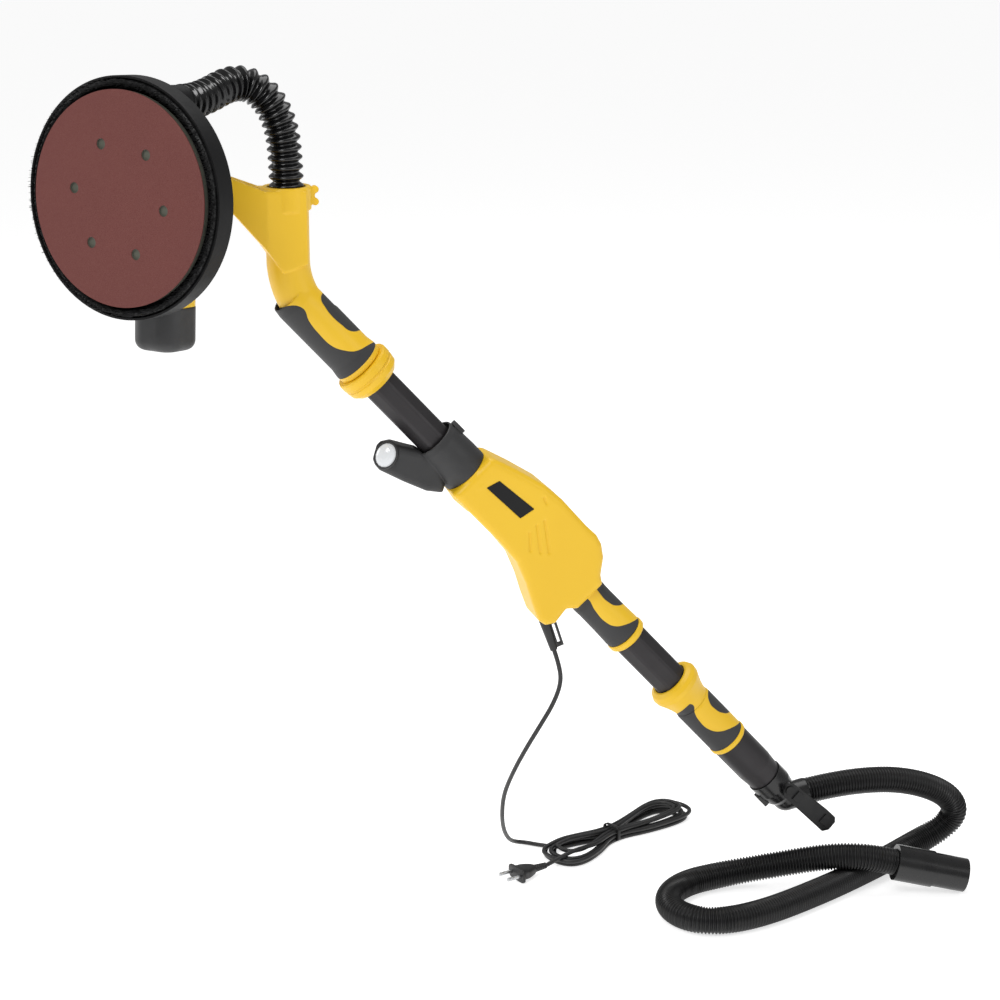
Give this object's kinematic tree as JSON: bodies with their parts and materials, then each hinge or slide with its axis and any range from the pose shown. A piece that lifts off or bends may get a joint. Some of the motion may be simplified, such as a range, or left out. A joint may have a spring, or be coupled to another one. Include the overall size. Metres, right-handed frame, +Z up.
{
  "type": "pole drywall sander",
  "caption": "Telescopic pole drywall sander with a swivelling, tilting disc head, suction duct, lamp, rubber grips, power cable and vacuum hose.",
  "frame": {"origin": "on the pole's axis, in the middle of the rear hand grip, where the tool is held", "axes": "+Z up; the pole lies in the XZ plane and slopes down towards +X at 47.67 degrees; +Y across the tool; the disc faces -X and -Y, turned 43 degrees"},
  "size_m": [1.1464, 0.4458, 1.0346],
  "materials": {
    "abrasive": "fine red-brown abrasive grit on a paper disc",
    "alloy": "die-cast alloy",
    "black_plastic": "fine-grained black plastic",
    "black_screw": "blackened steel",
    "black_tube": "black anodised tube",
    "bristle": "dense short black bristles",
    "cable_rubber": "black rubber cable sheath",
    "carbon": "pressed carbon",
    "circuit_board": "green circuit board",
    "copper": "laminated iron with copper windings",
    "duct_plastic": "glossy black bellows plastic",
    "foam": "grey-green foam",
    "gloss_black": "smooth glossy black plastic",
    "grey_plastic": "smooth dark grey plastic",
    "grip_rubber": "matt dark grey soft rubber",
    "hose_plastic": "ribbed black hose plastic",
    "label_black": "blank black plate",
    "lamp_lens": "frosted clear lens",
    "steel": "bright steel",
    "yellow_plastic": "satin yellow plastic"
  },
  "bodies": {
    "housing": {"housing_left": "yellow_plastic", "housing_right": "yellow_plastic", "housing_screws": "black_screw", "name_plate": "label_black", "light_collar": "grey_plastic", "lamp_bezel": "grey_plastic", "lamp_lens": "lamp_lens", "front_tube": "black_tube", "rear_tube": "black_tube", "grip_middle_cover": "grip_rubber", "control_board": "circuit_board", "cord_guard": "cable_rubber", "power_cable": "cable_rubber", "cable_hank": "cable_rubber", "hank_tie": "black_plastic", "plug_body": "cable_rubber", "plug_pins": "steel"},
    "latch": {"latch_lever": "grey_plastic"},
    "switch": {"power_switch": "black_plastic"},
    "dial": {"speed_dial": "black_plastic"},
    "middle_ring": {"ring_middle": "yellow_plastic"},
    "neck": {"neck_left": "yellow_plastic", "neck_right": "yellow_plastic", "neck_screws": "black_screw", "grip_front_cover": "grip_rubber", "duct_clip": "yellow_plastic", "swivel_pin": "steel", "bellows_duct": "duct_plastic"},
    "front_ring": {"lock_ring_front": "yellow_plastic"},
    "yoke": {"swivel_yoke": "alloy", "tilt_bolts": "black_plastic"},
    "head": {"gear_housing": "alloy", "motor_housing": "yellow_plastic", "motor_end_cap": "grey_plastic", "stator": "copper", "carbon_brushes": "carbon", "ball_bearings": "steel", "shroud": "grey_plastic", "brush_skirt": "bristle"},
    "rotor": {"rotor_shaft": "steel", "armature": "copper", "cooling_fan": "black_plastic", "bevel_pinion": "steel"},
    "pad": {"spindle": "steel", "bevel_wheel": "steel", "pad_plate": "black_plastic", "pad_foam": "foam", "sanding_disc": "abrasive", "pad_screw": "steel"},
    "tail": {"rear_grip_shell": "yellow_plastic", "grip_rear_cover": "grip_rubber", "tail_tube": "black_tube", "hose_adapter": "black_plastic", "hook_pivot": "steel", "vacuum_hose": "hose_plastic", "hose_cuff": "gloss_black"},
    "tail_ring": {"ring_rear": "yellow_plastic"},
    "button": {"adapter_button": "black_plastic"},
    "hook": {"hook_arm": "black_plastic"},
    "nozzle": {"hose_nozzle": "gloss_black"}
  },
  "joints": [
    {"name": "front_telescope", "type": "slide", "parent": "housing", "child": "neck", "axis": [-0.6734, 0, 0.7393], "range_m": [0, 0.045]},
    {"name": "front_ring_turn", "type": "hinge", "parent": "neck", "child": "front_ring", "pos_m": [-0.28148, 0, 0.30902], "axis": [0.6734, 0, -0.7393], "range_deg": [-60, 0]},
    {"name": "head_swivel", "type": "hinge", "parent": "neck", "child": "yoke", "pos_m": [-0.4588, 0, 0.5275], "axis": [0, 0, 1], "range_deg": [-88, 17], "deforming": ["bellows_duct"]},
    {"name": "head_tilt", "type": "hinge", "parent": "yoke", "child": "head", "pos_m": [-0.51731, -0.05456, 0.5275], "axis": [-0.682, 0.7314, 0], "range_deg": [-20, 18]},
    {"name": "pad_spin", "type": "hinge", "parent": "head", "child": "pad", "pos_m": [-0.55379, -0.08858, 0.53099], "axis": [-0.7296, -0.6803, 0.0698], "continuous": true},
    {"name": "rotor_spin", "type": "hinge", "parent": "head", "child": "rotor", "pos_m": [-0.51191, -0.04952, 0.44679], "axis": [0.051, 0.0476, 0.9976], "continuous": true},
    {"name": "latch_press", "type": "slide", "parent": "housing", "child": "latch", "axis": [-0.7393, 0, -0.6734], "range_m": [0, 0.0015], "stiffness_N_per_m": 400},
    {"name": "power_slide", "type": "slide", "parent": "housing", "child": "switch", "axis": [0.6734, 0, -0.7393], "range_m": [0, 0.008]},
    {"name": "speed_turn", "type": "hinge", "parent": "housing", "child": "dial", "pos_m": [-0.09095, 0.03, 0.1444], "axis": [0, 1, 0], "range_deg": [-135, 135]},
    {"name": "middle_ring_turn", "type": "hinge", "parent": "housing", "child": "middle_ring", "pos_m": [0.0303, 0, -0.03327], "axis": [0.6734, 0, -0.7393], "range_deg": [-60, 0]},
    {"name": "rear_telescope", "type": "slide", "parent": "housing", "child": "tail", "axis": [0.6734, 0, -0.7393], "range_m": [-0.055, 0]},
    {"name": "rear_ring_turn", "type": "hinge", "parent": "tail", "child": "tail_ring", "pos_m": [0.16498, 0, -0.18112], "axis": [0.6734, 0, -0.7393], "range_deg": [-60, 0]},
    {"name": "button_press", "type": "slide", "parent": "tail", "child": "button", "axis": [0.7393, 0, 0.6734], "range_m": [0, 0.0015], "stiffness_N_per_m": 400},
    {"name": "hook_turn", "type": "hinge", "parent": "tail", "child": "hook", "pos_m": [0.236, -0.0276, -0.245], "axis": [0, 1, 0], "range_deg": [-40, 25]},
    {"name": "nozzle_turn", "type": "hinge", "parent": "tail", "child": "nozzle", "pos_m": [0.42658, -0.09248, -0.3511], "axis": [0.9511, -0.2212, -0.2157], "continuous": true}
  ],
  "couplings": [
    {"joint": "rotor_spin", "follows": "pad_spin", "ratio": 3}
  ]
}
